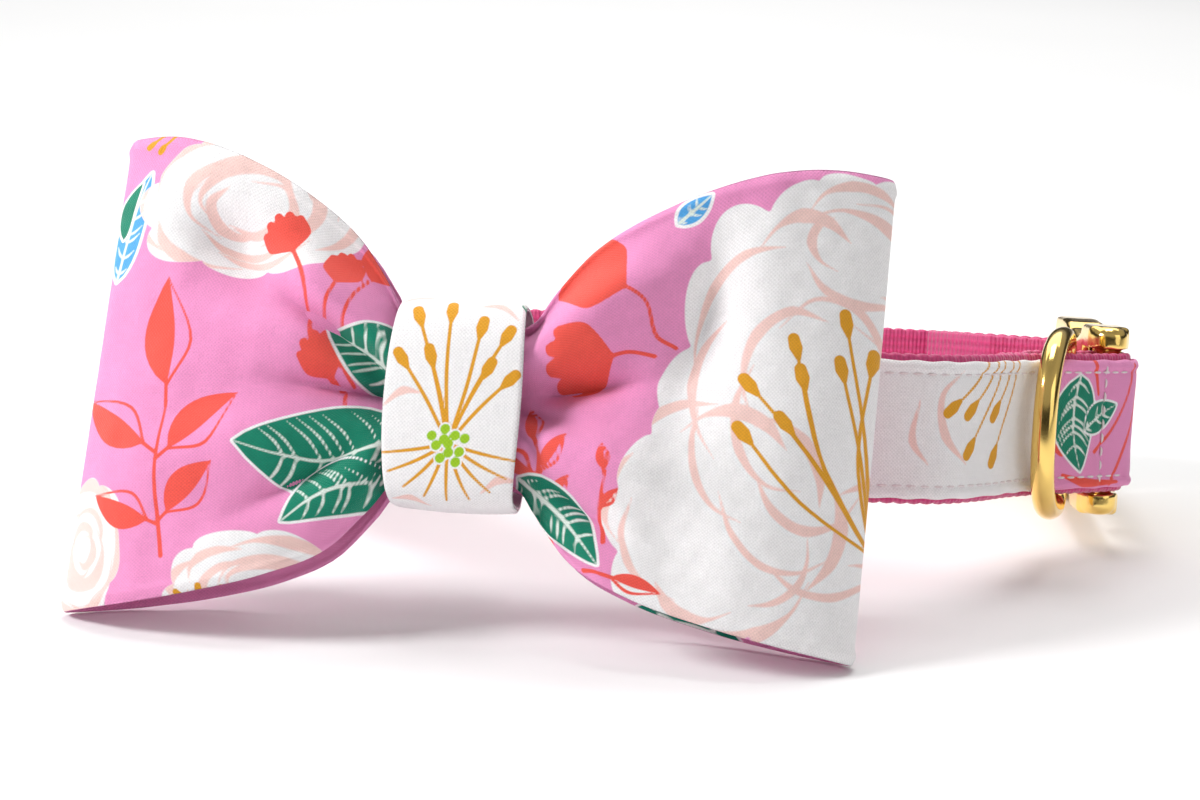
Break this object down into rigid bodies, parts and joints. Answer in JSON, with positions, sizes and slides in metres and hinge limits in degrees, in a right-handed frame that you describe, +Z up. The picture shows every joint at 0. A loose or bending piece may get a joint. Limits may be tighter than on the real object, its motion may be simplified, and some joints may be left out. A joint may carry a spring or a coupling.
{
  "type": "pet bow tie collar",
  "caption": "Buckled webbing collar with a printed cotton face, a D-ring, a metal side-release buckle and a gathered cotton bow tie",
  "frame": {"origin": "centre of the bottom of the bounding box, on the surface that the collar rests on", "axes": "+X to the right along the bow and the front of the strap, the longest side, +Y to the back of the loop, +Z up; the front is at -Y"},
  "size_m": [0.1866, 0.1312, 0.0752],
  "materials": {
    "cotton": "plain weave cotton, floral print in white, pink, coral, green and gold",
    "cotton_strip": "plain weave cotton, floral print, edge stitched",
    "elastic": "woven elastic",
    "webbing": "hot pink nylon webbing, braided edge",
    "gold": "polished gold plate"
  },
  "bodies": {
    "collar": {"webbing": "webbing", "strap_print": "cotton_strip", "keeper": "elastic", "bow": "cotton", "knot": "cotton", "buckle_socket": "gold", "buckle_plug": "gold"},
    "ring": {"ring": "gold"}
  },
  "joints": [
    {"name": "ring_swing", "type": "hinge", "parent": "collar", "child": "ring", "pos_m": [0.07666, 0.00552, 0.025], "axis": [0.0128, 0.1597, 0.9871], "range_deg": [0, 108]}
  ]
}
